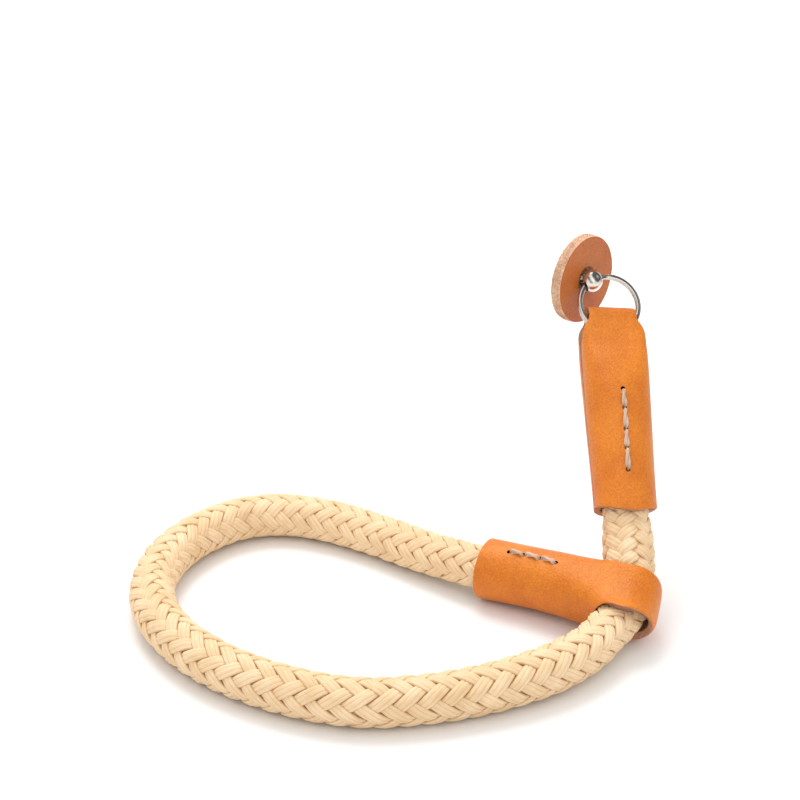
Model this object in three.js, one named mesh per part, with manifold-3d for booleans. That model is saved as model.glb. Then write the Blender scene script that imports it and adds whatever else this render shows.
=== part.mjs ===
// A camera wrist strap: a braided rope, slipped through a leather keeper, hangs by a folded
// leather tab and a split ring from an eye with a leather disc behind it.
// Millimetres. The origin is the centre of the eye's hole, +X is the disc's outward normal,
// +Z is up, and the rope's loop lies flat below.

import * as THREE from 'three';
import { mergeVertices } from 'three/addons/utils/BufferGeometryUtils.js';
import Module from 'manifold-3d';

const wasm = await Module();
wasm.setup();

const GAP = 0.3;
const LEATHER = 1.6;

// Rope
const ROPE_RADIUS = 6;
const ROPE_STEPS = 80;
const ROPE_SIDES = 12;

// Surface that the loop lies on
const FLOOR = -70.2;

// Disc and eye
const DISC_RADIUS = 11.7;
const DISC_THICKNESS = 3;
const DISC_HOLE_RADIUS = 3.5;
const DISC_FRONT = -1.5;
const DISC_EDGE_ROUND = 0.35;
const EYE_RADIUS = 3;
const EYE_HOLE_RADIUS = 1.7;
const EYE_NECK_RADIUS = 2.2;
const EYE_FOOT_LENGTH = 1;

// Split ring
const RING_OUTER = 8.6;
const RING_WIRE = 1.3;
const RING_COIL = 0.75;
const RING_GROOVE = 0.25;
const RING_SPLIT = 0.4;
const RING_SPLIT_TURN = 17;
const RING_MEAN = RING_OUTER - RING_WIRE / 2;
const RING_BORE = RING_OUTER - RING_WIRE;

// How the ring and the tab hang, in degrees
const HANG_HEADING = -46;
const HANG_LEAN = 45.8;
const HANG_TURN = -9.4;
const RING_SWING = 34;

// Folded tab
const TAB_LENGTH = 55;
const TAB_LIP = 2.4;
const TAB_HALF_WIDTH = 8.7;
const TAB_SIDE_GAP = 0.55;
const TAB_FOLD_HALF = RING_BORE - TAB_SIDE_GAP;
const TAB_BORE = ROPE_RADIUS + GAP;
const TAB_HALF_DEPTH = TAB_BORE + LEATHER;
const TAB_FOLD_DEPTH = RING_COIL + GAP + LEATHER;
const TAB_GRIP = 26;

// Keeper
const KEEPER_BORE = ROPE_RADIUS + GAP;
const KEEPER_RADIUS = KEEPER_BORE + LEATHER;
const KEEPER_GRIP = 20;
const KEEPER_LOOP_HALF = 7.4;
const KEEPER_TIP_HALF = 7.2;
const KEEPER_NEAR_SHIFT = 2;
const KEEPER_SADDLE = 1.3;
const SLEEVE_START = new THREE.Vector3(6.6, -51, FLOOR + KEEPER_RADIUS);
const SLEEVE_TILT = 15;
const LOOP_HEADING = 26;
const LOOP_TILT = 24;

// The rope's free stretch, from the sleeve's mouth round the loop and up to the tab.
const ROPE_ROUTE = [
  [-1, -51.9, -62.9],
  [-14, -52.6, -63.8],
  [-28, -53, -64.2],
  [-41, -54.9, -64.2],
  [-52, -58.7, -64.2],
  [-60.2, -65.5, -64.2],
  [-64.4, -75, -64.2],
  [-64.8, -88, -64.2],
  [-61, -101, -64.2],
  [-53, -112.6, -64.2],
  [-42, -120.7, -64.2],
  [-29.5, -125.4, -64.2],
  [-16, -127.2, -64.2],
  [-2.5, -126.2, -64.2],
  [10.7, -122.8, -64.2],
  [21.9, -117.1, -64.2],
  [31.4, -107.5, -64.2],
  [38.9, -96.5, -64.2],
  [44.7, -85, -63.8],
  [47.7, -75.2, -63.6],
  [48.7, -64.2, -63.5],
  [47.4, -54.5, -63.3],
  [46.2, -46.5, -62.6],
  [45.2, -42.3, -60.4],
  [42.6, -38.6, -58.2],
  [40.2, -35.6, -55.1],
];
const LOOP_CENTRE_ROW = 23;
const KEEPER_FIRST_ROW = 19;

const MATERIALS = {
  leather: new THREE.MeshStandardMaterial({ name: 'tan leather', color: 0xc9712f, roughness: 0.55 }),
  rope: new THREE.MeshStandardMaterial({ name: 'cotton rope', color: 0xe6c795, roughness: 0.9 }),
  steel: new THREE.MeshStandardMaterial({
    name: 'nickelled steel',
    color: 0xc9c5bf,
    roughness: 0.2,
    metalness: 1,
  }),
};

const strap = new THREE.Group();

function addMesh(parent, name, geometry, material) {
  const mesh = new THREE.Mesh(geometry, material);
  mesh.name = name;
  parent.add(mesh);
  return mesh;
}

function toSolid(geometry) {
  const bare = geometry.clone();
  bare.deleteAttribute('normal');
  bare.deleteAttribute('uv');
  const merged = mergeVertices(bare, 1e-4);
  return new wasm.Manifold(new wasm.Mesh({
    numProp: 3,
    vertProperties: new Float32Array(merged.attributes.position.array),
    triVerts: new Uint32Array(merged.index.array),
  }));
}

function toGeometry(solid) {
  const mesh = solid.getMesh();
  const geometry = new THREE.BufferGeometry();
  geometry.setAttribute('position', new THREE.BufferAttribute(mesh.vertProperties, 3));
  geometry.setIndex(new THREE.BufferAttribute(mesh.triVerts, 1));
  return geometry;
}

// Closed loft through rings of equal point counts, each given as a list of Vector3.
function loft(rings) {
  const sides = rings[0].length;
  const points = rings.flat();
  const faces = [];
  for (let r = 0; r + 1 < rings.length; r += 1) {
    for (let k = 0; k < sides; k += 1) {
      const a = r * sides + k;
      const b = r * sides + (k + 1) % sides;
      faces.push(a, b, a + sides, b, b + sides, a + sides);
    }
  }
  for (const end of [0, rings.length - 1]) {
    const centre = new THREE.Vector3();
    rings[end].forEach((point) => centre.addScaledVector(point, 1 / sides));
    points.push(centre);
    for (let k = 0; k < sides; k += 1) {
      const a = end * sides + k;
      const b = end * sides + (k + 1) % sides;
      faces.push(...(end === 0 ? [b, a, points.length - 1] : [a, b, points.length - 1]));
    }
  }
  const geometry = new THREE.BufferGeometry();
  geometry.setAttribute('position', new THREE.Float32BufferAttribute(points.flatMap((p) => p.toArray()), 3));
  geometry.setIndex(faces);
  return geometry;
}

// Superellipse point: squareness 2 is round, more is boxier.
function roundedPoint(angle, halfWidth, halfDepth, squareness) {
  const c = Math.cos(angle);
  const s = Math.sin(angle);
  const power = 2 / squareness;
  return [
    halfWidth * Math.sign(c) * Math.abs(c) ** power,
    halfDepth * Math.sign(s) * Math.abs(s) ** power,
  ];
}

function circleShape(radius, sides) {
  const points = [];
  for (let k = 0; k < sides; k += 1) {
    const angle = (2 * Math.PI * k) / sides;
    points.push(new THREE.Vector2(radius * Math.cos(angle), radius * Math.sin(angle)));
  }
  return new THREE.Shape(points);
}

function tubeAlong(curve, radius, sides, steps) {
  const settings = { steps, extrudePath: curve, bevelEnabled: false };
  return new THREE.ExtrudeGeometry(circleShape(radius, sides), settings);
}

// Reads a table of rows at a share between 0 and 1, along a smooth curve through the rows.
function readTable(table, share) {
  const last = table.length - 1;
  let k = 0;
  while (k + 1 < last && share > table[k + 1].at) {
    k += 1;
  }
  const from = table[k];
  const to = table[k + 1];
  const span = to.at - from.at;
  const t = THREE.MathUtils.clamp((share - from.at) / span, 0, 1);
  const row = {};
  Object.keys(from).forEach((key) => {
    const before = table[Math.max(k - 1, 0)];
    const after = table[Math.min(k + 2, last)];
    const slopeIn = k === 0 ? 0 : (to[key] - before[key]) / (to.at - before.at);
    const slopeOut = k + 1 === last ? 0 : (after[key] - from[key]) / (after.at - from.at);
    row[key] = from[key] * (1 + 2 * t) * (1 - t) ** 2 + to[key] * (3 - 2 * t) * t ** 2
      + span * (slopeIn * t * (1 - t) ** 2 - slopeOut * (1 - t) * t ** 2);
  });
  return row;
}

// Hanging frame: local -Z runs down the tab, X across it, and -Y is its front.
function hangingFrame() {
  const heading = THREE.MathUtils.degToRad(HANG_HEADING);
  const lean = THREE.MathUtils.degToRad(HANG_LEAN);
  const down = new THREE.Vector3(
    Math.cos(heading) * Math.cos(lean),
    Math.sin(heading) * Math.cos(lean),
    -Math.sin(lean),
  );
  const across = new THREE.Vector3(-Math.sin(heading), Math.cos(heading), 0);
  across.applyAxisAngle(down, THREE.MathUtils.degToRad(HANG_TURN));
  const up = down.clone().negate();
  const back = new THREE.Vector3().crossVectors(up, across);
  return new THREE.Matrix4().makeBasis(across, back, up);
}

const hanging = new THREE.Group();
hanging.quaternion.setFromRotationMatrix(hangingFrame());
strap.add(hanging);

const swing = THREE.MathUtils.degToRad(RING_SWING);
const ringCentre = new THREE.Vector3(RING_MEAN * Math.sin(swing), 0, -RING_MEAN * Math.cos(swing));
const ringSeat = Math.sqrt(RING_BORE ** 2 - TAB_FOLD_HALF ** 2);
const tabTop = ringCentre.z - ringSeat + GAP + LEATHER;
const tabBottom = tabTop - TAB_LENGTH;

function hangingToStrap(x, y, z) {
  return new THREE.Vector3(x, y, z).applyQuaternion(hanging.quaternion);
}

// Disc, turned from a profile and laid with its normal along X.
function makeDisc() {
  const back = DISC_FRONT - DISC_THICKNESS;
  const r = DISC_EDGE_ROUND;
  const profile = [
    [DISC_HOLE_RADIUS, back],
    [DISC_RADIUS - r, back],
    [DISC_RADIUS, back + r],
    [DISC_RADIUS, DISC_FRONT - r],
    [DISC_RADIUS - r, DISC_FRONT],
    [DISC_HOLE_RADIUS + r, DISC_FRONT],
    [DISC_HOLE_RADIUS, DISC_FRONT - r],
    [DISC_HOLE_RADIUS, back],
  ].map(([x, y]) => new THREE.Vector2(x, y));
  return new THREE.LatheGeometry(profile, 56).rotateZ(-Math.PI / 2);
}

// Eye: a foot in the disc's hole, a neck and a ball with the ring's hole through it.
function makeEye() {
  const back = DISC_FRONT - DISC_THICKNESS;
  const footRadius = DISC_HOLE_RADIUS - GAP;
  const neckTop = -Math.sqrt(EYE_RADIUS ** 2 - EYE_NECK_RADIUS ** 2);
  const profile = [
    new THREE.Vector2(0, back),
    new THREE.Vector2(footRadius, back),
    new THREE.Vector2(footRadius, back + EYE_FOOT_LENGTH),
    new THREE.Vector2(EYE_NECK_RADIUS, back + EYE_FOOT_LENGTH),
  ];
  const ballSteps = 12;
  const firstAngle = Math.atan2(neckTop, EYE_NECK_RADIUS);
  for (let k = 0; k <= ballSteps; k += 1) {
    const angle = THREE.MathUtils.lerp(firstAngle, Math.PI / 2, k / ballSteps);
    const radius = k === ballSteps ? 0 : EYE_RADIUS * Math.cos(angle);
    profile.push(new THREE.Vector2(radius, EYE_RADIUS * Math.sin(angle)));
  }
  const body = new THREE.LatheGeometry(profile, 24).rotateZ(-Math.PI / 2);
  const wireDirection = hangingToStrap(Math.cos(swing), 0, Math.sin(swing));
  const hole = new THREE.CylinderGeometry(EYE_HOLE_RADIUS, EYE_HOLE_RADIUS, 4 * EYE_RADIUS, 20);
  hole.applyQuaternion(new THREE.Quaternion().setFromUnitVectors(new THREE.Vector3(0, 1, 0), wireDirection));
  return toGeometry(toSolid(body).subtract(toSolid(hole)));
}

// Split ring: two flat coils side by side, with a groove between them and one open end.
function makeRing() {
  const chamfer = RING_GROOVE;
  const side = [
    [RING_BORE, RING_GROOVE / 2],
    [RING_BORE, RING_COIL - chamfer],
    [RING_BORE + chamfer, RING_COIL],
    [RING_OUTER - chamfer, RING_COIL],
    [RING_OUTER, RING_COIL - chamfer],
    [RING_OUTER, RING_GROOVE / 2],
    [RING_OUTER - RING_GROOVE, 0],
  ];
  const mirrored = side.slice(0, -1).map(([r, y]) => [r, -y]).reverse();
  const outline = [[RING_BORE + RING_GROOVE, 0], ...side, ...mirrored, [RING_BORE + RING_GROOVE, 0]];
  const profile = outline.map(([r, y]) => new THREE.Vector2(r, y)).reverse();
  const coils = toSolid(new THREE.LatheGeometry(profile, 56));
  const slot = new THREE.BoxGeometry(RING_SPLIT, RING_COIL * 2, RING_WIRE * 2);
  slot.translate(0, -RING_COIL, -RING_MEAN);
  slot.rotateY(THREE.MathUtils.degToRad(RING_SPLIT_TURN));
  return toGeometry(coils.subtract(toSolid(slot)));
}

// Tab: shares of the tab's own length from the fold down, with widths and depths as shares of
// the tube's half width and half depth.
const TAB_SECTIONS = [
  { at: 0.048, width: 0.8, depth: 0.34, squareness: 9 },
  { at: 0.12, width: 0.96, depth: 0.4, squareness: 7 },
  { at: 0.2, width: 1, depth: 0.54, squareness: 4.4 },
  { at: 0.3, width: 1.01, depth: 0.78, squareness: 3 },
  { at: 0.42, width: 1, depth: 0.95, squareness: 2.4 },
  { at: 0.56, width: 0.99, depth: 1, squareness: 2.1 },
  { at: 1, width: 0.93, depth: 1, squareness: 2 },
];
const TAB_SIDES = 36;
const TAB_FOLD_STEPS = 6;
const TAB_FOLD_START = 0.06;
const TAB_SHOULDER = 0.05;
const TAB_OPENING = TAB_HALF_WIDTH * 0.2;
const TAB_OVERRUN = 1;
const TAB_OPEN_SHARE = 0.1;
const TAB_CLOSED_SHARE = 0.22;
const TAB_LIP_SHARE = 0.84;

function tabRing(z, halfWidth, halfDepth, squareness, lip = 0) {
  const ring = [];
  for (let k = 0; k < TAB_SIDES; k += 1) {
    const [x, y] = roundedPoint((-2 * Math.PI * k) / TAB_SIDES, halfWidth, halfDepth, squareness);
    const forward = Math.max(0, -y / halfDepth);
    ring.push(new THREE.Vector3(x, y, z - lip * forward ** 2));
  }
  return ring;
}

function tabRings(inset) {
  const rings = [];
  const foldDepth = TAB_FOLD_DEPTH - inset;
  const foldCentre = tabTop - TAB_FOLD_DEPTH;
  const open = inset > 0 ? TAB_OPENING : 0;
  for (let k = 0; k < TAB_FOLD_STEPS; k += 1) {
    const angle = THREE.MathUtils.lerp(TAB_FOLD_START, 1, k / TAB_FOLD_STEPS) * (Math.PI / 2);
    const z = foldCentre + foldDepth * Math.cos(angle);
    rings.push(tabRing(z, TAB_FOLD_HALF + open, foldDepth * Math.sin(angle), TAB_SECTIONS[0].squareness));
  }
  const start = TAB_SECTIONS[0].at;
  const steps = 20;
  for (let k = 0; k <= steps; k += 1) {
    const share = THREE.MathUtils.lerp(start, 1, k / steps);
    const row = readTable(TAB_SECTIONS, share);
    const shut = THREE.MathUtils.smoothstep(share, TAB_OPEN_SHARE, TAB_CLOSED_SHARE);
    const grown = Math.min(1, (share - start) / TAB_SHOULDER);
    const halfWidth = THREE.MathUtils.lerp(TAB_FOLD_HALF, row.width * TAB_HALF_WIDTH, grown);
    const halfDepth = THREE.MathUtils.lerp(TAB_FOLD_DEPTH, row.depth * TAB_HALF_DEPTH, grown);
    const sideInset = THREE.MathUtils.lerp(-open, inset, shut);
    const overrun = inset > 0 && k === steps ? TAB_OVERRUN : 0;
    const lip = TAB_LIP * THREE.MathUtils.smoothstep(share, TAB_LIP_SHARE, 1);
    const z = tabTop - share * TAB_LENGTH - overrun;
    rings.push(tabRing(z, halfWidth - sideInset, halfDepth - inset, row.squareness, lip));
  }
  return rings;
}

function makeTab() {
  const outer = toSolid(loft(tabRings(0)));
  const inner = toSolid(loft(tabRings(LEATHER)));
  return toGeometry(outer.subtract(inner));
}

// Rope: gripped straight in the sleeve, round the free stretch, and straight up inside the tab.
const routePoints = ROPE_ROUTE.map((point) => new THREE.Vector3(...point));
const loopCentre = routePoints[LOOP_CENTRE_ROW].clone();
const spine = new THREE.Vector3().subVectors(loopCentre, SLEEVE_START);
const spineLength = spine.length();
const spineDirection = spine.clone().normalize();
const tabMouth = hangingToStrap(ringCentre.x, 0, tabBottom);
const tabInside = hangingToStrap(ringCentre.x, 0, tabBottom + TAB_GRIP);
const ropeCurve = new THREE.CatmullRomCurve3([
  SLEEVE_START.clone().addScaledVector(spineDirection, KEEPER_GRIP),
  SLEEVE_START.clone().addScaledVector(spineDirection, KEEPER_GRIP / 2),
  SLEEVE_START.clone(),
  ...routePoints,
  tabMouth,
  tabMouth.clone().lerp(tabInside, 0.5),
  tabInside,
], false, 'centripetal');

// Keeper: a sleeve round the rope's end that widens and folds over the passing rope.
const KEEPER_SECTIONS = [
  { at: 0, squareness: 2, saddle: 0, turn: 0 },
  { at: 0.45, squareness: 2, saddle: 0, turn: 0 },
  { at: 0.8, squareness: 3, saddle: 0.5, turn: 0.6 },
  { at: 1, squareness: 5, saddle: 1, turn: 1 },
];
const KEEPER_SIDES = 36;
const KEEPER_BEND = 88;
const BORE_OVERRUN = 5;

function keeperRing(centre, turn, halfWidth, halfHeight, squareness, saddle) {
  const firstHeading = THREE.MathUtils.radToDeg(Math.atan2(spine.y, spine.x));
  const heading = THREE.MathUtils.degToRad(THREE.MathUtils.lerp(firstHeading, LOOP_HEADING, turn));
  const tilt = THREE.MathUtils.degToRad(THREE.MathUtils.lerp(SLEEVE_TILT, LOOP_TILT, turn));
  const along = new THREE.Vector3(Math.cos(heading), Math.sin(heading), 0);
  const across = new THREE.Vector3(
    -Math.sin(heading) * Math.cos(tilt),
    Math.cos(heading) * Math.cos(tilt),
    Math.sin(tilt),
  );
  const up = new THREE.Vector3().crossVectors(along, across);
  const ring = [];
  for (let k = 0; k < KEEPER_SIDES; k += 1) {
    const [w, h] = roundedPoint((2 * Math.PI * k) / KEEPER_SIDES, halfWidth, halfHeight, squareness);
    const lift = KEEPER_SADDLE * saddle * (w / halfWidth) ** 2;
    const aside = w - KEEPER_NEAR_SHIFT * turn;
    ring.push(centre.clone().addScaledVector(across, aside).addScaledVector(up, h + lift));
  }
  return ring;
}

function makeKeeper() {
  const rings = [];
  const steps = 20;
  for (let k = 0; k <= steps; k += 1) {
    const row = readTable(KEEPER_SECTIONS, k / steps);
    const centre = SLEEVE_START.clone().addScaledVector(spine, k / steps);
    const halfWidth = THREE.MathUtils.lerp(KEEPER_RADIUS, KEEPER_LOOP_HALF, row.turn);
    rings.push(keeperRing(centre, row.turn, halfWidth, KEEPER_RADIUS, row.squareness, row.saddle));
  }
  const heading = THREE.MathUtils.degToRad(LOOP_HEADING);
  const tipDirection = new THREE.Vector3(Math.cos(heading), Math.sin(heading), 0);
  const tip = KEEPER_SECTIONS.at(-1);
  const bends = 10;
  for (let k = 1; k <= bends; k += 1) {
    const angle = (k / bends) * THREE.MathUtils.degToRad(KEEPER_BEND);
    const centre = loopCentre.clone().addScaledVector(tipDirection, KEEPER_RADIUS * Math.sin(angle));
    const halfWidth = THREE.MathUtils.lerp(KEEPER_LOOP_HALF, KEEPER_TIP_HALF, Math.sin(angle));
    const halfHeight = KEEPER_RADIUS * Math.cos(angle);
    rings.push(keeperRing(centre, tip.turn, halfWidth, halfHeight, tip.squareness, tip.saddle));
  }
  const body = toSolid(loft(rings));
  const boreCurve = new THREE.LineCurve3(
    SLEEVE_START.clone().addScaledVector(spineDirection, -BORE_OVERRUN),
    SLEEVE_START.clone().addScaledVector(spineDirection, spineLength - KEEPER_BORE / 2),
  );
  const bore = toSolid(tubeAlong(boreCurve, KEEPER_BORE, 32, 1));
  const passPoints = [...routePoints.slice(KEEPER_FIRST_ROW), tabMouth];
  const passCurve = new THREE.CatmullRomCurve3(passPoints, false, 'centripetal');
  const pass = toSolid(tubeAlong(passCurve, KEEPER_BORE, 32, 24));
  return toGeometry(body.subtract(bore).subtract(pass));
}

addMesh(strap, 'leather_disc', makeDisc(), MATERIALS.leather);
addMesh(strap, 'hanging_eye', makeEye(), MATERIALS.steel);
const ring = addMesh(hanging, 'split_ring', makeRing(), MATERIALS.steel);
ring.position.copy(ringCentre);
const tab = addMesh(hanging, 'folded_tab', makeTab(), MATERIALS.leather);
tab.position.set(ringCentre.x, 0, 0);
addMesh(strap, 'braided_rope', tubeAlong(ropeCurve, ROPE_RADIUS, ROPE_SIDES, ROPE_STEPS), MATERIALS.rope);
addMesh(strap, 'slip_keeper', makeKeeper(), MATERIALS.leather);

export default strap;
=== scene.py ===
"""A camera wrist strap: braided rope, folded leather tab, slip keeper, split ring and disc."""

import bpy
import math
import random
from mathutils import Matrix, Quaternion, Vector


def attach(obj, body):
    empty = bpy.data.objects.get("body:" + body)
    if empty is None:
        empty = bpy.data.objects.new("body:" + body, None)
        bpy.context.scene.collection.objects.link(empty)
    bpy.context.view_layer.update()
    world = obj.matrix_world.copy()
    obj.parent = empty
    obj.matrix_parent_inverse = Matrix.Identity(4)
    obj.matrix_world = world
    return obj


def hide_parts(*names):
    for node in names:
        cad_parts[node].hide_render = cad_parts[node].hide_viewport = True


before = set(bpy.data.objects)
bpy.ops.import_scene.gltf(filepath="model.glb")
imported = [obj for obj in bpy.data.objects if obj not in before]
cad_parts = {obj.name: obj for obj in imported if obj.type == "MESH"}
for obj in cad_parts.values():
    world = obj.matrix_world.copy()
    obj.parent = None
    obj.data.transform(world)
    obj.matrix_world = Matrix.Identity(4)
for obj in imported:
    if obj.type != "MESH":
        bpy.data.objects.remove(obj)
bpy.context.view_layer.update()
random.seed(7)
MM = 0.001

# Sizes shared with the solids, in millimetres
GAP = 0.3
LEATHER = 1.6
ROPE_RADIUS = 6
FLOOR = -70.2
DISC_RADIUS = 11.7
DISC_THICKNESS = 3
DISC_HOLE_RADIUS = 3.5
DISC_FRONT = -1.5
EYE_RADIUS = 3
EYE_HOLE_RADIUS = 1.7
EYE_NECK_RADIUS = 2.2
RING_OUTER = 8.6
RING_WIRE = 1.3
RING_COIL = 0.75
RING_MEAN = RING_OUTER - RING_WIRE / 2
RING_BORE = RING_OUTER - RING_WIRE
RING_SWING = math.radians(34)
HANG_HEADING = math.radians(-46)
HANG_LEAN = math.radians(45.8)
HANG_TURN = math.radians(-9.4)
TAB_LENGTH = 55
TAB_LIP = 2.4
TAB_HALF_WIDTH = 8.7
TAB_FOLD_HALF = RING_BORE - 0.55
TAB_HALF_DEPTH = ROPE_RADIUS + GAP + LEATHER
TAB_FOLD_DEPTH = RING_COIL + GAP + LEATHER
TAB_GRIP = 26
KEEPER_RADIUS = ROPE_RADIUS + GAP + LEATHER
KEEPER_GRIP = 20
KEEPER_LOOP_HALF = 7.4
KEEPER_TIP_HALF = 7.2
KEEPER_NEAR_SHIFT = 2
KEEPER_SADDLE = 1.3
SLEEVE_START = Vector((6.6, -51, FLOOR + KEEPER_RADIUS))
SLEEVE_TILT = 15
LOOP_HEADING = 26
LOOP_TILT = 24

# The rope's free stretch, from the sleeve's mouth round the loop and up to the tab
ROPE_ROUTE = [
    (-1, -51.9, -62.9),
    (-14, -52.6, -63.8),
    (-28, -53, -64.2),
    (-41, -54.9, -64.2),
    (-52, -58.7, -64.2),
    (-60.2, -65.5, -64.2),
    (-64.4, -75, -64.2),
    (-64.8, -88, -64.2),
    (-61, -101, -64.2),
    (-53, -112.6, -64.2),
    (-42, -120.7, -64.2),
    (-29.5, -125.4, -64.2),
    (-16, -127.2, -64.2),
    (-2.5, -126.2, -64.2),
    (10.7, -122.8, -64.2),
    (21.9, -117.1, -64.2),
    (31.4, -107.5, -64.2),
    (38.9, -96.5, -64.2),
    (44.7, -85, -63.8),
    (47.7, -75.2, -63.6),
    (48.7, -64.2, -63.5),
    (47.4, -54.5, -63.3),
    (46.2, -46.5, -62.6),
    (45.2, -42.3, -60.4),
    (42.6, -38.6, -58.2),
    (40.2, -35.6, -55.1),
]
LOOP_CENTRE_ROW = 23


# Hanging frame: local -Z runs down the tab, X across it, and -Y is its front
DOWN = Vector((
    math.cos(HANG_HEADING) * math.cos(HANG_LEAN),
    math.sin(HANG_HEADING) * math.cos(HANG_LEAN),
    -math.sin(HANG_LEAN),
))
ACROSS = Vector((-math.sin(HANG_HEADING), math.cos(HANG_HEADING), 0))
ACROSS.rotate(Quaternion(DOWN, HANG_TURN))
BACK = (-DOWN).cross(ACROSS)
HANG = Matrix((ACROSS, BACK, -DOWN)).transposed()
RING_CENTRE = Vector((RING_MEAN * math.sin(RING_SWING), 0, -RING_MEAN * math.cos(RING_SWING)))
TAB_TOP = RING_CENTRE.z - math.sqrt(RING_BORE ** 2 - TAB_FOLD_HALF ** 2) + GAP + LEATHER
TAB_BOTTOM = TAB_TOP - TAB_LENGTH


def hung(x, y, z):
    """A point of the hanging frame as a point of the strap's frame, in millimetres."""
    return HANG @ Vector((x, y, z))


# Camera: the photograph's lens and place
CAMERA_LENS = 99
CAMERA_PLACE = Vector((311.3, -442, 216.4))
CAMERA_DOWN = 25
CAMERA_HEADING = 40.5


def make_camera():
    camera = bpy.data.objects.new("camera", bpy.data.cameras.new("camera"))
    bpy.context.collection.objects.link(camera)
    camera.data.sensor_width = 36
    camera.data.lens = CAMERA_LENS
    camera.location = CAMERA_PLACE * MM
    camera.rotation_euler = (math.radians(90 - CAMERA_DOWN), 0, math.radians(CAMERA_HEADING))
    bpy.context.scene.camera = camera


WHITE = (1, 1, 1, 1)
BLACK = (0, 0, 0, 1)


# Shader maths
class Socket:
    """A node's output that can be used in arithmetic."""

    def __init__(self, tree, output):
        self.tree = tree
        self.output = output

    def maths(self, operation, *values):
        return self.tree.node("ShaderNodeMath", {"operation": operation}, *values)

    def __add__(self, other):
        return self.maths("ADD", self, other)

    def __mul__(self, other):
        return self.maths("MULTIPLY", self, other)

    __radd__ = __add__
    __rmul__ = __mul__


# A Mix node's two colours come after its factor and five sockets for other kinds of value
MIX_SKIPPED = (None,) * 5
MIX_COLOUR = 2


class Nodes:
    """The node tree of a material or a world, with one way to add nodes."""

    def __init__(self, data, shader):
        self.data = data
        self.data.use_nodes = True
        self.nodes = data.node_tree.nodes
        self.links = data.node_tree.links
        self.shader = next(node for node in self.nodes if node.type == shader)

    def set(self, socket, value):
        if value is None:
            return
        if isinstance(value, Socket):
            self.links.new(value.output, socket)
        else:
            socket.default_value = value

    def node(self, kind, settings, *values, output=0, **named):
        made = self.nodes.new(kind)
        for key, value in settings.items():
            if key == "stops":
                ramp = made.color_ramp
                while len(ramp.elements) < len(value):
                    ramp.elements.new(1)
                for element, (place, colour) in zip(ramp.elements, value):
                    element.position = place
                    element.color = colour
            else:
                setattr(made, key, value)
        for socket, value in zip(made.inputs, values):
            self.set(socket, value)
        for key, value in named.items():
            self.set(made.inputs[key.replace("_", " ")], value)
        return Socket(self, made.outputs[output])

    def ramp(self, factor, *stops):
        return self.node("ShaderNodeValToRGB", {"stops": stops}, factor)

    def mix(self, factor, first, second, how="MIX"):
        settings = {"data_type": "RGBA", "blend_type": how}
        values = (factor, *MIX_SKIPPED, first, second)
        return self.node("ShaderNodeMix", settings, *values, output=MIX_COLOUR)

    def surface(self, **named):
        for key, value in named.items():
            self.set(self.shader.inputs[key.replace("_", " ")], value)


class Finish(Nodes):
    """A material with one Principled shader."""

    def __init__(self, name):
        super().__init__(bpy.data.materials.new(name), "BSDF_PRINCIPLED")

    def place(self):
        return self.node("ShaderNodeTexCoord", {}, output="Object")

    def noise(self, vector, scale, detail, roughness):
        settings = {"Vector": vector, "Scale": scale, "Detail": detail, "Roughness": roughness}
        return self.node("ShaderNodeTexNoise", {}, **settings)

    def bump(self, height, strength, distance):
        normal = self.node("ShaderNodeBump", {}, Height=height, Strength=strength, Distance=distance)
        self.surface(Normal=normal)


def smooth_leather(name, light, deep):
    """Grain side of vegetable-tanned leather: soft mottling, fine pores and a low sheen."""
    finish = Finish(name)
    where = finish.place()
    cloud = finish.noise(where, 90, 4, 0.6)
    pores = finish.noise(where, 2200, 3, 0.6)
    creases = finish.node("ShaderNodeTexVoronoi", {"feature": "DISTANCE_TO_EDGE"}, Vector=where, Scale=1400)
    colour = finish.mix(finish.ramp(cloud, (0.32, BLACK), (0.68, WHITE)), light, deep)
    speck = finish.ramp(pores, (0.38, (0.66, 0.52, 0.42, 1)), (0.6, WHITE))
    finish.surface(
        Base_Color=finish.mix(0.5, colour, speck, "MULTIPLY"),
        Roughness=pores * 0.2 + 0.3,
        Specular_IOR_Level=0.32,
    )
    finish.bump(pores * 0.6 + creases * 0.9, 0.8, 0.00022)
    return finish.data


def raw_leather(name, light, deep):
    """Cut edge or flesh side of leather: pale, matt and fibrous."""
    finish = Finish(name)
    where = finish.place()
    fibre = finish.noise(where, 1900, 4, 0.7)
    cloud = finish.noise(where, 300, 2, 0.5)
    mask = finish.ramp(fibre * 0.7 + cloud * 0.3, (0.35, BLACK), (0.62, WHITE))
    finish.surface(Base_Color=finish.mix(mask, deep, light), Roughness=0.9, Specular_IOR_Level=0.2)
    finish.bump(fibre, 0.8, 0.0004)
    return finish.data


def bright_nickel():
    finish = Finish("bright_nickel")
    where = finish.place()
    haze = finish.noise(where, 700, 3, 0.6)
    finish.surface(Base_Color=(0.75, 0.7, 0.65, 1), Metallic=1.0, Roughness=haze * 0.12 + 0.16)
    finish.bump(haze, 0.06, 0.00005)
    return finish.data


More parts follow.
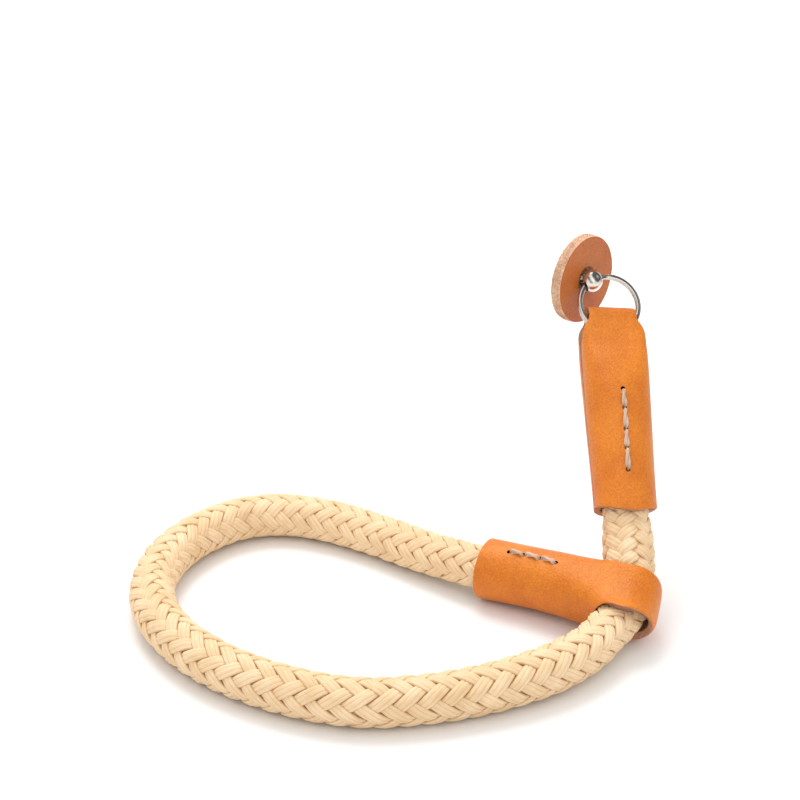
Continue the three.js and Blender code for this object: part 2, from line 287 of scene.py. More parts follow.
def cotton_yarn(name, light, deep, gap_shade_tones=((0, WHITE),)):
    """Soft cotton. Its UV runs round and along each strand, and the optional tones paint shade on the
    strand's edges and creases.
    """
    finish = Finish(name)
    uv = finish.node("ShaderNodeTexCoord", {}, output="UV")
    round_way = finish.node("ShaderNodeSeparateXYZ", {}, uv)
    slant = (0, 0, math.radians(2))
    slanted = finish.node("ShaderNodeMapping", {}, Vector=uv, Rotation=slant, Scale=(20, 0.3, 1))
    fibres = finish.noise(slanted, 1.4, 4, 0.6)
    where = finish.place()
    fluff = finish.noise(where, 2400, 3, 0.7)
    cloud = finish.noise(where, 160, 3, 0.5)
    tone = finish.ramp(fibres * 0.5 + cloud * 0.5, (0.34, BLACK), (0.6, WHITE))
    colour = finish.mix(tone, deep, light)
    # Painted shade from the tones is multiplied into the colour round each strand
    finish.surface(
        Base_Color=finish.mix(1, colour, finish.ramp(round_way, *gap_shade_tones), "MULTIPLY"),
        Roughness=0.8,
        Specular_IOR_Level=0.25,
    )
    finish.bump(fibres * 0.8 + fluff * 0.2, 0.8, 0.00022)
    return finish.data


# Painted shade round each strand: dark brown in the gap between strands, lighter on the strand's sides, and
# in the two creases between its yarns
STRAND_GAP_SHADE = (0.35, 0.24, 0.15, 1)
STRAND_SIDE_SHADE = (0.76, 0.66, 0.53, 1)
STRAND_CREASE_SHADE = (0.88, 0.82, 0.73, 1)
STRAND_SHADE_TONES = (
    (0, STRAND_GAP_SHADE),
    (0.07, STRAND_SIDE_SHADE),
    (0.13, WHITE),
    (0.245, WHITE),
    (0.286, STRAND_CREASE_SHADE),
    (0.325, WHITE),
    (0.53, WHITE),
    (0.571, STRAND_CREASE_SHADE),
    (0.61, WHITE),
    (0.73, WHITE),
    (0.79, STRAND_SIDE_SHADE),
    (0.86, STRAND_GAP_SHADE),
)
LEATHER_GRAIN = smooth_leather("tan_leather_grain", (0.78, 0.24, 0.018, 1), (0.65, 0.168, 0.009, 1))
LEATHER_EDGE = raw_leather("leather_cut_edge", (0.6, 0.33, 0.22, 1), (0.42, 0.19, 0.11, 1))
DISC_GRAIN = smooth_leather("disc_leather_grain", (0.58, 0.165, 0.024, 1), (0.48, 0.12, 0.015, 1))
DISC_EDGE = raw_leather("disc_cut_edge", (0.88, 0.62, 0.43, 1), (0.5, 0.25, 0.15, 1))
NICKEL = bright_nickel()
YARN = cotton_yarn("cotton_yarn", (0.9, 0.68, 0.44, 1), (0.74, 0.5, 0.27, 1), STRAND_SHADE_TONES)
# Dark core seen between the strands: painted shade, darker than the yarn itself
YARN_SHADE = cotton_yarn("painted_shade_core", (0.3, 0.17, 0.07, 1), (0.2, 0.1, 0.04, 1))
# Near-black painted shade for the walls of the stitch holes
HOLE_SHADE = raw_leather("stitch_hole_shade", (0.05, 0.02, 0.01, 1), (0.02, 0.008, 0.004, 1))
THREAD = cotton_yarn("waxed_thread", (0.76, 0.57, 0.45, 1), (0.47, 0.31, 0.21, 1))


# Mesh helpers
def deselect():
    for other in bpy.context.selected_objects:
        other.select_set(False)


def activate(piece):
    deselect()
    piece.select_set(True)
    bpy.context.view_layer.objects.active = piece


def modify(piece, kind, **settings):
    activate(piece)
    modifier = piece.modifiers.new(kind, kind)
    for key, value in settings.items():
        setattr(modifier, key, value)
    bpy.ops.object.modifier_apply(modifier=modifier.name)


def finish_piece(piece, name, materials, angle=40):
    piece.name = name
    piece.data.name = name
    if not piece.data.materials:
        for material in materials:
            piece.data.materials.append(material)
    activate(piece)
    bpy.ops.object.shade_smooth_by_angle(angle=math.radians(angle))
    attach(piece, "root")
    return piece


def rounded_point(angle, half_width, half_depth, squareness):
    """Point of a superellipse: squareness 2 is round, more is boxier."""
    c = math.cos(angle)
    s = math.sin(angle)
    power = 2 / squareness
    return (
        half_width * math.copysign(abs(c) ** power, c),
        half_depth * math.copysign(abs(s) ** power, s),
    )


def lerp(a, b, t):
    return a + (b - a) * t


def ease(low, high, x):
    t = min(max((x - low) / (high - low), 0), 1)
    return t * t * (3 - 2 * t)


def read_table(table, share):
    """A row of a section table at a share between 0 and 1, along a smooth curve through the rows."""
    last = len(table) - 1
    k = 0
    while k + 1 < last and share > table[k + 1]["at"]:
        k += 1
    here = table[k]
    there = table[k + 1]
    before = table[max(k - 1, 0)]
    after = table[min(k + 2, last)]
    span = there["at"] - here["at"]
    t = min(max((share - here["at"]) / span, 0), 1)
    row = {}
    for key in here:
        slope_in = 0 if k == 0 else (there[key] - before[key]) / (there["at"] - before["at"])
        slope_out = 0 if k + 1 == last else (after[key] - here[key]) / (after["at"] - here["at"])
        row[key] = (
            here[key] * (1 + 2 * t) * (1 - t) ** 2
            + there[key] * (3 - 2 * t) * t ** 2
            + span * (slope_in * t * (1 - t) ** 2 - slope_out * (1 - t) * t ** 2)
        )
    return row


STRIP_BEVEL = 0.22


def leather_strip(columns, rows, place, thickness, materials, closed=False):
    """A strip of leather: a flat grid laid in shape by place(u, v), then given its thickness."""
    deselect()
    bpy.ops.mesh.primitive_grid_add(x_subdivisions=columns, y_subdivisions=rows, size=2)
    strip = bpy.context.object
    for vertex in strip.data.vertices:
        u = (vertex.co.x + 1) / 2
        v = (vertex.co.y + 1) / 2
        vertex.co = place(u, v) * MM
    for material in materials:
        strip.data.materials.append(material)
    if closed:
        bpy.ops.object.mode_set(mode="EDIT")
        bpy.ops.mesh.select_all(action="SELECT")
        bpy.ops.mesh.remove_doubles(threshold=0.01 * MM)
        bpy.ops.object.mode_set(mode="OBJECT")
    modify(
        strip,
        "SOLIDIFY",
        thickness=thickness * MM,
        offset=-1,
        use_even_offset=True,
        material_offset=1,
        material_offset_rim=1,
    )
    modify(
        strip,
        "BEVEL",
        width=STRIP_BEVEL * MM,
        segments=2,
        limit_method="ANGLE",
        angle_limit=math.radians(50),
    )
    return strip


# Folded tab
TAB_SECTIONS = [
    {"at": 0.048, "width": 0.8, "depth": 0.34, "squareness": 9},
    {"at": 0.12, "width": 0.96, "depth": 0.4, "squareness": 7},
    {"at": 0.2, "width": 1, "depth": 0.54, "squareness": 4.4},
    {"at": 0.3, "width": 1.01, "depth": 0.78, "squareness": 3},
    {"at": 0.42, "width": 1, "depth": 0.95, "squareness": 2.4},
    {"at": 0.56, "width": 0.99, "depth": 1, "squareness": 2.1},
    {"at": 1, "width": 0.93, "depth": 1, "squareness": 2},
]
TAB_LIP_SHARE = 0.84
TAB_FOLD_SPREAD = 1.03
TAB_FOLD_ROWS = 0.06
TAB_SHOULDER_END = 0.1
TAB_SEAM_SHARES = (0.06, 0.2)
TAB_EDGE_ANGLE = math.radians(44)
TAB_SEAM_ANGLE = math.radians(1.3)


def tab_section(share):
    row = read_table(TAB_SECTIONS, share)
    start = ease(TAB_SECTIONS[0]["at"], TAB_SHOULDER_END, share)
    width = lerp(TAB_FOLD_HALF * TAB_FOLD_SPREAD, row["width"] * TAB_HALF_WIDTH, start)
    depth = lerp(TAB_FOLD_DEPTH, row["depth"] * TAB_HALF_DEPTH, start)
    edge = lerp(TAB_EDGE_ANGLE, TAB_SEAM_ANGLE, ease(*TAB_SEAM_SHARES, share))
    return width, depth, row["squareness"], edge


def tab_point(u, v):
    """v runs from the front's bottom edge over the fold to the back's bottom edge."""
    side = -1 if v < 0.5 else 1
    away = abs(v - 0.5) * 2
    turn = min(away / TAB_FOLD_ROWS, 1)
    share = lerp(TAB_SECTIONS[0]["at"], 1, max(away - TAB_FOLD_ROWS, 0) / (1 - TAB_FOLD_ROWS))
    width, depth, squareness, edge = tab_section(share)
    angle = lerp(math.pi - edge, edge, u)
    x, y = rounded_point(angle, width, depth, squareness)
    bend = turn * math.pi / 2
    if turn < 1:
        z = TAB_TOP - TAB_FOLD_DEPTH + y * math.cos(bend)
        y = y * math.sin(bend)
    else:
        lip = TAB_LIP * ease(TAB_LIP_SHARE, 1, share) if side < 0 else 0
        z = TAB_TOP - share * TAB_LENGTH - lip * (y / depth) ** 2
    return hung(RING_CENTRE.x + x, side * y, z)


# Rope centreline
loop_centre = Vector(ROPE_ROUTE[LOOP_CENTRE_ROW])
spine = loop_centre - SLEEVE_START
spine_direction = spine.normalized()
tab_mouth = hung(RING_CENTRE.x, 0, TAB_BOTTOM)
tab_inside = hung(RING_CENTRE.x, 0, TAB_BOTTOM + TAB_GRIP)


def spline_through(points, step):
    """Centripetal Catmull-Rom points, about a step apart."""
    padded = [points[0] * 2 - points[1], *points, points[-1] * 2 - points[-2]]
    line = [points[0].copy()]
    for k in range(len(points) - 1):
        p0, p1, p2, p3 = padded[k:k + 4]
        t0 = 0
        t1 = t0 + (p1 - p0).length ** 0.5
        t2 = t1 + (p2 - p1).length ** 0.5
        t3 = t2 + (p3 - p2).length ** 0.5
        count = max(1, round((p2 - p1).length / step))
        for n in range(1, count + 1):
            t = lerp(t1, t2, n / count)
            a1 = p0.lerp(p1, (t - t0) / (t1 - t0))
            a2 = p1.lerp(p2, (t - t1) / (t2 - t1))
            a3 = p2.lerp(p3, (t - t2) / (t3 - t2))
            b1 = a1.lerp(a2, (t - t0) / (t2 - t0))
            b2 = a2.lerp(a3, (t - t1) / (t3 - t1))
            line.append(b1.lerp(b2, (t - t1) / (t2 - t1)))
    return line


rope_line = spline_through([
    tab_inside,
    tab_mouth.lerp(tab_inside, 0.5),
    tab_mouth,
    *[Vector(point) for point in reversed(ROPE_ROUTE)],
    SLEEVE_START,
    SLEEVE_START + spine_direction * KEEPER_GRIP / 2,
    SLEEVE_START + spine_direction * KEEPER_GRIP,
], 1)


def line_frames(line):
    """Tangent, side and up of each point, turned as little as possible along the line."""
    tangents = []
    for k in range(len(line)):
        before = line[max(k - 1, 0)]
        after = line[min(k + 1, len(line) - 1)]
        tangents.append((after - before).normalized())
    side = tangents[0].orthogonal().normalized()
    frames = []
    for k, tangent in enumerate(tangents):
        if k:
            side.rotate(tangents[k - 1].rotation_difference(tangent))
            side = (side - tangent * side.dot(tangent)).normalized()
        frames.append((tangent, side.copy(), tangent.cross(side)))
    return frames


def swept(parts, line, section_at, slot):
    """Adds a closed tube to parts: section_at(k) gives the ring's points round the line's point k.

    Its UV runs from 0 to 1 round the ring and in millimetres along the line.
    """
    verts, faces, slots, uvs = parts
    first = len(verts)
    count = 0
    travelled = 0
    runs = []
    for k, point in enumerate(line):
        if k:
            travelled += (point - line[k - 1]).length
        runs.append(travelled)
        ring = section_at(k)
        count = len(ring)
        verts.extend(tuple(corner * MM) for corner in ring)
    for k in range(len(line) - 1):
        for n in range(count):
            a = first + k * count + n
            b = first + k * count + (n + 1) % count
            faces.append((a, b, b + count, a + count))
            slots.append(slot)
            left = n / count
            right = (n + 1) / count
            uvs.append(((left, runs[k]), (right, runs[k]), (right, runs[k + 1]), (left, runs[k + 1])))
    for end in (0, len(line) - 1):
        cap = [first + end * count + n for n in range(count)]
        faces.append(tuple(cap) if end else tuple(reversed(cap)))
        slots.append(slot)
        uvs.append(tuple((0, 0) for corner in cap))


def mesh_of(name, parts):
    verts, faces, slots, uvs = parts
    mesh = bpy.data.meshes.new(name)
    mesh.from_pydata(verts, [], faces)
    layer = mesh.uv_layers.new(name="yarn")
    layer.data.foreach_set("uv", [value for corners in uvs for corner in corners for value in corner])
    mesh.polygons.foreach_set("material_index", slots)
    mesh.update()
    return mesh


def piece_of(name, parts, materials, angle=60):
    piece = bpy.data.objects.new(name, mesh_of(name, parts))
    bpy.context.collection.objects.link(piece)
    return finish_piece(piece, name, materials, angle)


# Braid: two sets of strands wound opposite ways, each passing over two and under two.
# Rows: distance from the end inside the tab, size beside the solid, length of one turn, and how far
# a strand rises and sinks.
# It is short and fat between the tab and the keeper, and longer and thinner round the loop.
BRAID_ROWS = [
    {"at": 0, "swell": 0.98, "pitch": 29.5, "wave": 0.68},
    {"at": 27, "swell": 0.99, "pitch": 29.5, "wave": 0.72},
    {"at": 34, "swell": 1.08, "pitch": 29.5, "wave": 0.8},
    {"at": 45, "swell": 1.06, "pitch": 30, "wave": 0.78},
    {"at": 56, "swell": 0.99, "pitch": 36, "wave": 0.62},
    {"at": 70, "swell": 0.99, "pitch": 42, "wave": 0.56},
    {"at": 84, "swell": 1.04, "pitch": 42, "wave": 0.54},
    {"at": 120, "swell": 1.03, "pitch": 43, "wave": 0.52},
    {"at": 310, "swell": 1, "pitch": 41, "wave": 0.54},
    {"at": 400, "swell": 0.98, "pitch": 41, "wave": 0.54},
]
BRAID_STRANDS = 8
STRAND_RADIUS = 4.7
STRAND_SPREAD = 0.05
STRAND_SECTION = [
    (1.58, -0.4), (1.48, 0.08), (1.2, 0.42), (0.84, 0.53), (0.54, 0.44), (0.28, 0.58), (0, 0.64),
    (-0.28, 0.58), (-0.54, 0.44), (-0.84, 0.53), (-1.2, 0.42), (-1.48, 0.08), (-1.58, -0.4), (0, -0.6),
]
STRAND_WANDER = 0.025
STRAND_WANDER_RATE = 1.7
CROSSING_SHARPNESS = 1.8
CROSSING_START = math.pi / 16
CORE_RADIUS = 4.3
CORE_SIDES = 12


def braid_parts(line):
    frames = line_frames(line)
    turned = [0]
    swells = [BRAID_ROWS[0]["swell"]]
    waves = [BRAID_ROWS[0]["wave"]]
    travelled = 0
    for before, point in zip(line, line[1:]):
        step = (point - before).length
        travelled += step
        row = read_table(BRAID_ROWS, travelled)
        turned.append(turned[-1] + 2 * math.pi * step / row["pitch"])
        swells.append(row["swell"])
        waves.append(row["wave"])
    parts = ([], [], [], [])
    for way in (1, -1):
        for strand in range(BRAID_STRANDS):
            drift = random.uniform(0, 6)
            plump = random.uniform(0.94, 1.06)

            def strand_ring(k):
                tangent, side, up = frames[k]
                wander = STRAND_WANDER * math.sin(turned[k] * STRAND_WANDER_RATE + drift)
                theta = way * turned[k] + 2 * math.pi * strand / BRAID_STRANDS
                over = math.cos(BRAID_STRANDS / 2 * (theta - CROSSING_START)) * way
                wave = math.tanh(CROSSING_SHARPNESS * over) / math.tanh(CROSSING_SHARPNESS)
                lift = waves[k] * wave
                spread_out = 1 + STRAND_SPREAD * wave
                theta += wander
                out = side * math.cos(theta) + up * math.sin(theta)
                round_way = up * math.cos(theta) - side * math.sin(theta)
                radius = (STRAND_RADIUS + lift) * swells[k]
                before = max(k - 1, 0)
                step = max((line[before + 1] - line[before]).length, 1e-6)
                slope = (turned[before + 1] - turned[before]) / step * radius * way
                run = (tangent + round_way * slope).normalized()
                across = out.cross(run)
                ring = []
                for flat_x, h in STRAND_SECTION:
                    x = flat_x * spread_out * swells[k]
                    bend = x * across.dot(round_way) / radius
                    spread = out * math.cos(bend) + round_way * math.sin(bend)
                    along = tangent * (x * across.dot(tangent))
                    ring.append(line[k] + along + spread * (radius + h * plump * swells[k]))
                return ring

            swept(parts, line, strand_ring, 0)

    def core_ring(k):
        tangent, side, up = frames[k]
        angles = [2 * math.pi * n / CORE_SIDES for n in range(CORE_SIDES)]
        radius = CORE_RADIUS * swells[k]
        return [line[k] + (side * math.cos(a) + up * math.sin(a)) * radius for a in angles]

    # The core uses slot 1, the painted shade seen between the strands
    swept(parts, line, core_ring, 1)
    return parts


def make_rope():
    rope = piece_of("rope_braid", braid_parts(rope_line), [YARN, YARN_SHADE])
    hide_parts("braided_rope")
    length = sum((b - a).length for a, b in zip(rope_line, rope_line[1:]))
    [tuple(point * MM) for point in rope_line[::3]]


def make_tab():
    tab = leather_strip(44, 180, tab_point, LEATHER, [LEATHER_GRAIN, LEATHER_EDGE])
    finish_piece(tab, "tab_leather", [])
    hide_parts("folded_tab")
    return tab


# Slip keeper
KEEPER_SECTIONS = [
    {"at": 0, "width": 0, "squareness": 2, "saddle": 0, "turn": 0},
    {"at": 0.45, "width": 0, "squareness": 2, "saddle": 0, "turn": 0},
    {"at": 0.8, "width": 0.6, "squareness": 3, "saddle": 0.5, "turn": 0.6},
    {"at": 1, "width": 1, "squareness": 6, "saddle": 1, "turn": 1},
]
KEEPER_BEND_ROWS = 0.13
KEEPER_TOP_REACH = math.radians(143)
KEEPER_UNDER_REACH = math.radians(35)
KEEPER_EDGE_REACH = math.radians(42)
KEEPER_ARCH_SHARES = (0.67, 0.95)
KEEPER_FLARE = 1.2
KEEPER_FLARE_ASIDE = 0.8
KEEPER_FLARE_SHARES = (0.72, 0.84)
KEEPER_FLARE_EDGE = 0.6


def keeper_point(u, v):
    """v runs from the sleeve's top mouth over the loop's bend to the sleeve's under mouth."""
    top = v < 0.5
    away = abs(v - 0.5) * 2
    turn = min(away / KEEPER_BEND_ROWS, 1)
    share = 1 - max(away - KEEPER_BEND_ROWS, 0) / (1 - KEEPER_BEND_ROWS)
    row = read_table(KEEPER_SECTIONS, share)
    bend = (1 - turn) * math.pi / 2
    half_width = lerp(KEEPER_RADIUS, KEEPER_LOOP_HALF, row["width"])
    half_width = lerp(half_width, KEEPER_TIP_HALF, math.sin(bend)) if bend else half_width
    open_share = ease(*KEEPER_ARCH_SHARES, share)
    reach = lerp(KEEPER_TOP_REACH if top else KEEPER_UNDER_REACH, KEEPER_EDGE_REACH, open_share)
    angle = math.pi / 2 + lerp(-reach, reach, u)
    w, h = rounded_point(angle, half_width, KEEPER_RADIUS, row["squareness"])
    lift = KEEPER_SADDLE * row["saddle"] * (w / half_width) ** 2
    first_heading = math.atan2(spine.y, spine.x)
    heading = lerp(first_heading, math.radians(LOOP_HEADING), row["turn"])
    tilt = math.radians(lerp(SLEEVE_TILT, LOOP_TILT, row["turn"]))
    along = Vector((math.cos(heading), math.sin(heading), 0))
    across = Vector((
        -math.sin(heading) * math.cos(tilt),
        math.cos(heading) * math.cos(tilt),
        math.sin(tilt),
    ))
    up = along.cross(across)
    centre = SLEEVE_START + spine * share
    forward = h * math.sin(bend)
    height = h * math.cos(bend) * (1 if top else -1)
    flare = 0
    if top:
        lifted = ease(*KEEPER_FLARE_SHARES, share) * ease(KEEPER_FLARE_EDGE, 1, u)
        flare = KEEPER_FLARE * lifted * math.cos(bend)
    aside = w - KEEPER_NEAR_SHIFT * row["turn"] - flare * KEEPER_FLARE_ASIDE
    return centre + along * forward + across * aside + up * (height + lift + flare)


def make_keeper():
    keeper = leather_strip(64, 200, keeper_point, LEATHER, [LEATHER_GRAIN, LEATHER_EDGE])
    finish_piece(keeper, "keeper_leather", [])
    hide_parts("slip_keeper")
    return keeper


# Stitches: waxed thread laid from hole to hole
THREAD_RADIUS = 0.4
THREAD_RISE = 0.42
THREAD_SINK = 1.1
THREAD_SHORT = 0.3
THREAD_BEND = 0.75
THREAD_TWIST = 0.6
THREAD_STEPS = 28
THREAD_SIDES = 8
PLY_OFFSET = 0.8
HOLE_RADIUS = 0.6
HOLE_BIT_LENGTH = 2.4
TAB_HOLES = (0.457, 0.552, 0.656, 0.746, 0.852)
TAB_ROW = (0.482, 0.456)
KEEPER_HOLES = (0.188, 0.293, 0.407, 0.518)
KEEPER_ROW = (0.513, 0.513)


def stitch_parts(parts, holes):
    """holes are (point, outward normal) pairs in a row."""
    for (first, first_out), (last, last_out) in zip(holes, holes[1:]):
        line = []
        length = (last - first).length
        for n in range(THREAD_STEPS + 1):
            t = n / THREAD_STEPS
            out = first_out.lerp(last_out, t).normalized()
            travelled = lerp(THREAD_SHORT, length - THREAD_SHORT, t)
            bent = ease(0, THREAD_BEND, min(t, 1 - t) * (length - 2 * THREAD_SHORT))
            line.append(first.lerp(last, travelled / length) + out * lerp(-THREAD_SINK, THREAD_RISE, bent))
        frames = line_frames(line)
        for ply in (0, math.pi):
            plied = []
            for n, point in enumerate(line):
                tangent, side, up = frames[n]
                angle = ply + THREAD_TWIST * length * n / THREAD_STEPS
                offset = side * math.cos(angle) + up * math.sin(angle)
                plied.append(point + offset * THREAD_RADIUS * PLY_OFFSET)
            ply_frames = line_frames(plied)

            def ply_ring(k):
                tangent, side, up = ply_frames[k]
                angles = [2 * math.pi * n / THREAD_SIDES for n in range(THREAD_SIDES)]
                return [plied[k] + (side * math.cos(a) + up * math.sin(a)) * THREAD_RADIUS for a in angles]

            swept(parts, plied, ply_ring, 0)


def surface_hole(place, u, v):
    """Point and outward normal of a leather strip's face at (u, v)."""
    step = 0.004
    point = place(u, v)
    along = place(u, v + step) - place(u, v - step)
    across = place(u + step, v) - place(u - step, v)
    return point, across.cross(along).normalized()


def tab_v(share, side):
    away = lerp(TAB_FOLD_ROWS, 1, (share - TAB_SECTIONS[0]["at"]) / (1 - TAB_SECTIONS[0]["at"]))
    return 0.5 + side * away / 2


def keeper_v(share, side):
    away = lerp(KEEPER_BEND_ROWS, 1, 1 - share)
    return 0.5 + side * away / 2


def punch(piece, holes):
    """Cuts the stitch holes into a piece of leather."""
    deselect()
    bits = []
    for point, out in holes:
        bpy.ops.mesh.primitive_cylinder_add(
            vertices=16,
            radius=HOLE_RADIUS * MM,
            depth=HOLE_BIT_LENGTH * MM,
        )
        bit = bpy.context.object
        turned = out.to_track_quat("Z", "Y").to_matrix().to_4x4()
        bit.matrix_world = Matrix.Translation(point * MM) @ turned
        bits.append(bit)
    deselect()
    for bit in bits:
        bit.select_set(True)
    bpy.context.view_layer.objects.active = bits[0]
    bpy.ops.object.join()
    cutter = bpy.context.object
    # The hole walls take the cutter's painted shade
    cutter.data.materials.append(HOLE_SHADE)
    modify(
        piece,
        "BOOLEAN",
        operation="DIFFERENCE",
        object=cutter,
        solver="EXACT",
        material_mode="TRANSFER",
    )
    bpy.data.objects.remove(cutter)


def sew(name, piece, place, v_of, shares, row):
    """One row of stitches on each face of the leather, from its first hole's u to its last one's."""
    rows = []
    for side in (-1, 1):
        holes = []
        for k, share in enumerate(shares):
            u = lerp(row[0], row[1], k / (len(shares) - 1))
            holes.append(surface_hole(place, u, v_of(share, side)))
        rows.append(holes)
    parts = ([], [], [], [])
    for holes in rows:
        stitch_parts(parts, holes)
    punch(piece, [hole for holes in rows for hole in holes])
    piece_of(name, parts, [THREAD])


# Split ring: one flattened wire wound twice, stepping from coil to coil near its open end
RING_JOG = 0.5
RING_JOG_END = 0.04
RING_END = 0.6
RING_STEPS = 260
WIRE_SIDES = 14
WIRE_GAP = 0.02
WIRE_TAPER = 0.7
WIRE_TAPER_STEPS = 3


def make_ring():
    line = []
    turns = []
    last = 4 * math.pi - RING_END
    for n in range(RING_STEPS + 1):
        turn = last * n / RING_STEPS
        stepped = ease(2 * math.pi - RING_JOG, 2 * math.pi - RING_JOG_END, turn)
        offset = lerp(-0.5, 0.5, stepped) * RING_COIL
        turns.append(turn)
        x = RING_CENTRE.x + RING_MEAN * math.sin(turn)
        z = RING_CENTRE.z + RING_MEAN * math.cos(turn)
        line.append(hung(x, offset, z))

    def wire_ring(k):
        out = HANG @ Vector((math.sin(turns[k]), 0, math.cos(turns[k])))
        taper = min(1, WIRE_TAPER + (1 - WIRE_TAPER) * min(k, RING_STEPS - k) / WIRE_TAPER_STEPS)
        ring = []
        for n in range(WIRE_SIDES):
            angle = 2 * math.pi * n / WIRE_SIDES
            x, y = rounded_point(angle, RING_WIRE / 2, RING_COIL / 2 - WIRE_GAP, 2)
            ring.append(line[k] + out * x * taper - BACK * y * taper)
        return ring

    parts = ([], [], [], [])
    swept(parts, line, wire_ring, 0)
    ring = piece_of("ring_coils", parts, [NICKEL], 50)
    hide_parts("split_ring")


# Disc: smooth on its front, with a raw edge whose fibres stand up
DISC_STEPS = 220
DISC_ROWS = 24
DISC_ROUGHNESS = 0.12
DISC_SHIFT = 0.06
DISC_SMOOTH_RIM = 0.35
DISC_EDGE_DEPTH = 0.3
DISC_EDGE_TILT = 0.2
NAP_FIBRES = 2600
NAP_SIDES = 3
NAP_FROM_FRONT = 0.45
NAP_FROM_BACK = 0.1
NAP_ROOT = 0.1
NAP_LENGTHS = (0.2, 0.42)
NAP_WIDTHS = (0.035, 0.07)
NAP_LEAN_ROUND = 0.3
NAP_LEAN_ACROSS = 0.25
NAP_LEAN = 0.7


def disc_point(u, v):
    radius = lerp(DISC_HOLE_RADIUS, DISC_RADIUS, v)
    angle = -2 * math.pi * u
    return Vector((DISC_FRONT, radius * math.cos(angle), radius * math.sin(angle)))


def roughen_edge(disc):
    """Divides the cut edge more finely and moves its points, short of the smooth rim at the front."""
    activate(disc)
    bpy.ops.object.mode_set(mode="EDIT")
    bpy.ops.mesh.select_all(action="DESELECT")
    bpy.ops.object.mode_set(mode="OBJECT")
    for polygon in disc.data.polygons:
        polygon.select = polygon.material_index == 1 and abs(polygon.normal.x) < DISC_EDGE_TILT
    bpy.ops.object.mode_set(mode="EDIT")
    bpy.ops.mesh.subdivide(number_cuts=3)
    bpy.ops.object.mode_set(mode="OBJECT")
    for vertex in disc.data.vertices:
        radius = math.hypot(vertex.co.y, vertex.co.z)
        depth = DISC_FRONT * MM - vertex.co.x
        if radius > (DISC_RADIUS - DISC_EDGE_DEPTH) * MM and depth > DISC_SMOOTH_RIM * MM:
            grow = 1 + random.uniform(-0.5, 0.6) * DISC_ROUGHNESS * MM / radius
            vertex.co.y *= grow
            vertex.co.z *= grow
            vertex.co.x += random.uniform(-DISC_SHIFT, DISC_SHIFT) * MM


def nap_parts():
    """Fibres that stand up from the cut edge, each a thin spike."""
    verts = []
    faces = []
    for n in range(NAP_FIBRES):
        angle = random.uniform(0, 2 * math.pi)
        x = DISC_FRONT - random.uniform(NAP_FROM_FRONT, DISC_THICKNESS - NAP_FROM_BACK)
        out = Vector((0, math.cos(angle), math.sin(angle)))
        side = Vector((1, 0, 0)).cross(out)
        root = out * (DISC_RADIUS - NAP_ROOT) + Vector((x, 0, 0))
        lean_round = random.uniform(-NAP_LEAN_ROUND, NAP_LEAN_ROUND)
        lean_across = random.uniform(-NAP_LEAN_ACROSS, NAP_LEAN_ACROSS)
        lean = side * lean_round + Vector((lean_across, 0, 0))
        tip = root + out * random.uniform(*NAP_LENGTHS) + lean * NAP_LEAN
        width = random.uniform(*NAP_WIDTHS)
        first = len(verts)
        for turn in range(NAP_SIDES):
            angle = 2 * math.pi * turn / NAP_SIDES
            spread = side * math.cos(angle) + Vector((1, 0, 0)) * math.sin(angle)
            verts.append(tuple((root + spread * width) * MM))
        verts.append(tuple(tip * MM))
        point = first + NAP_SIDES
        for turn in range(NAP_SIDES):
            faces.append((first + turn, first + (turn + 1) % NAP_SIDES, point))
        faces.append(tuple(reversed(range(first, point))))
    return verts, faces, [0] * len(faces), [((0, 0),) * len(face) for face in faces]


def make_disc():
    materials = [DISC_GRAIN, DISC_EDGE]
    disc = leather_strip(DISC_STEPS, DISC_ROWS, disc_point, DISC_THICKNESS, materials, closed=True)
    roughen_edge(disc)
    piece_of("disc_nap", nap_parts(), [DISC_EDGE])
    finish_piece(disc, "disc_leather", [])
    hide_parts("leather_disc")


# Eye: a ball on a neck and a foot, with the ring's hole through the ball
EYE_FOOT_LENGTH = 1
EYE_NECK_SINK = 0.4
EYE_NECK_END = -0.8
EYE_ROUNDING = 0.3


def make_eye():
    deselect()
    back = DISC_FRONT - DISC_THICKNESS
    bpy.ops.mesh.primitive_uv_sphere_add(segments=64, ring_count=40, radius=EYE_RADIUS * MM)
    eye = bpy.context.object
    stems = (
        (EYE_NECK_RADIUS, back + EYE_NECK_SINK, EYE_NECK_END),
        (DISC_HOLE_RADIUS - GAP, back, back + EYE_FOOT_LENGTH),
    )
    for radius, start, end in stems:
        deselect()
        bpy.ops.mesh.primitive_cylinder_add(
            vertices=64,
            radius=radius * MM,
            depth=(end - start) * MM,
            location=((start + end) / 2 * MM, 0, 0),
            rotation=(0, math.pi / 2, 0),
        )
        stem = bpy.context.object
        modify(eye, "BOOLEAN", operation="UNION", object=stem, solver="EXACT")
        bpy.data.objects.remove(stem)
    deselect()
    bpy.ops.mesh.primitive_cylinder_add(vertices=64, radius=EYE_HOLE_RADIUS * MM, depth=4 * EYE_RADIUS * MM)
    drill = bpy.context.object
    wire = hung(math.cos(RING_SWING), 0, math.sin(RING_SWING))
    drill.rotation_euler = wire.to_track_quat("Z", "Y").to_euler()
    bpy.context.view_layer.update()
    modify(eye, "BOOLEAN", operation="DIFFERENCE", object=drill, solver="EXACT")
    bpy.data.objects.remove(drill)
    modify(
        eye,
        "BEVEL",
        width=EYE_ROUNDING * MM,
        segments=4,
        limit_method="ANGLE",
        angle_limit=math.radians(35),
    )
    finish_piece(eye, "eye_metal", [NICKEL], 35)
    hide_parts("hanging_eye")


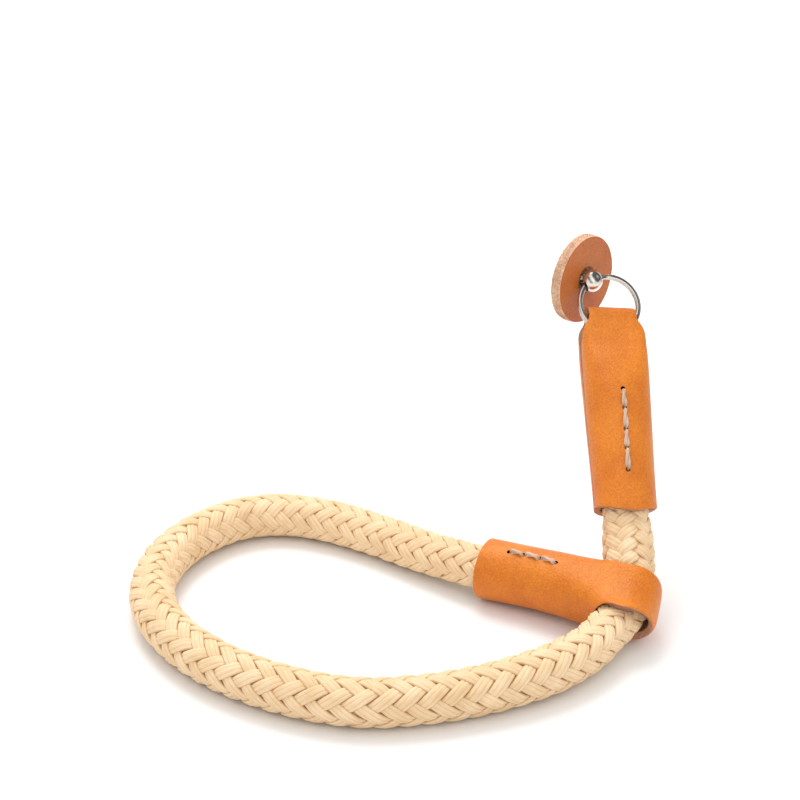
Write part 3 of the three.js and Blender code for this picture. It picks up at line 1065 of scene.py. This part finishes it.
# Stage: the sky is dimmer at the horizon, and bright metal sees dark and light cards
REFLECTED_CARDS = 0.45
SKY_STRENGTH = 1.2
FLOOR_SIZE = 8
LAMP_AIM = Vector((0, -0.08, -0.05))
LAMPS = (
    {"name": "key", "place": (-0.35, 0.15, 0.7), "size": 0.45, "power": 3.8},
    {"name": "fill", "place": (0.75, -0.7, 0.6), "size": 1.0, "power": 1},
)


def grey(tone):
    return (tone, tone, tone, 1)


def make_floor():
    deselect()
    bpy.ops.mesh.primitive_plane_add(size=FLOOR_SIZE, location=(0, 0, FLOOR * MM))
    floor = bpy.context.object
    floor.name = "floor"
    finish = Finish("pale_floor")
    finish.surface(Base_Color=grey(0.86), Roughness=0.7, Specular_IOR_Level=0.2)
    floor.data.materials.append(finish.data)


def make_sky():
    world = bpy.data.worlds.new("studio")
    bpy.context.scene.world = world
    sky = Nodes(world, "BACKGROUND")
    way = sky.node("ShaderNodeTexCoord", {}, output="Generated")
    height = sky.node("ShaderNodeSeparateXYZ", {}, way, output="Z")
    diagonal = {"bands_direction": "DIAGONAL"}
    cards = sky.node("ShaderNodeTexWave", diagonal, Vector=way, Scale=REFLECTED_CARDS, output="Fac")
    in_metal = sky.node("ShaderNodeLightPath", {}, output="Is Glossy Ray")
    sky_tone = sky.ramp(height, (0.02, grey(0.48)), (0.7, WHITE))
    card_tone = sky.ramp(cards, (0.28, grey(0.07)), (0.66, grey(0.9)))
    sky.surface(Color=sky.mix(in_metal, sky_tone, card_tone), Strength=SKY_STRENGTH)


def make_lamps():
    for row in LAMPS:
        light = bpy.data.lights.new(row["name"], "AREA")
        light.size = row["size"]
        light.energy = row["power"]
        lamp = bpy.data.objects.new(row["name"], light)
        bpy.context.collection.objects.link(lamp)
        lamp.location = row["place"]
        aim = LAMP_AIM - Vector(row["place"])
        lamp.rotation_euler = aim.to_track_quat("-Z", "Y").to_euler()


make_camera()
make_rope()
tab_leather = make_tab()
keeper_leather = make_keeper()
make_ring()
make_disc()
make_eye()
sew("tab_stitches", tab_leather, tab_point, tab_v, TAB_HOLES, TAB_ROW)
sew("keeper_stitches", keeper_leather, keeper_point, keeper_v, KEEPER_HOLES, KEEPER_ROW)
make_floor()
make_sky()
make_lamps()
bpy.context.scene.view_settings.view_transform = "Standard"
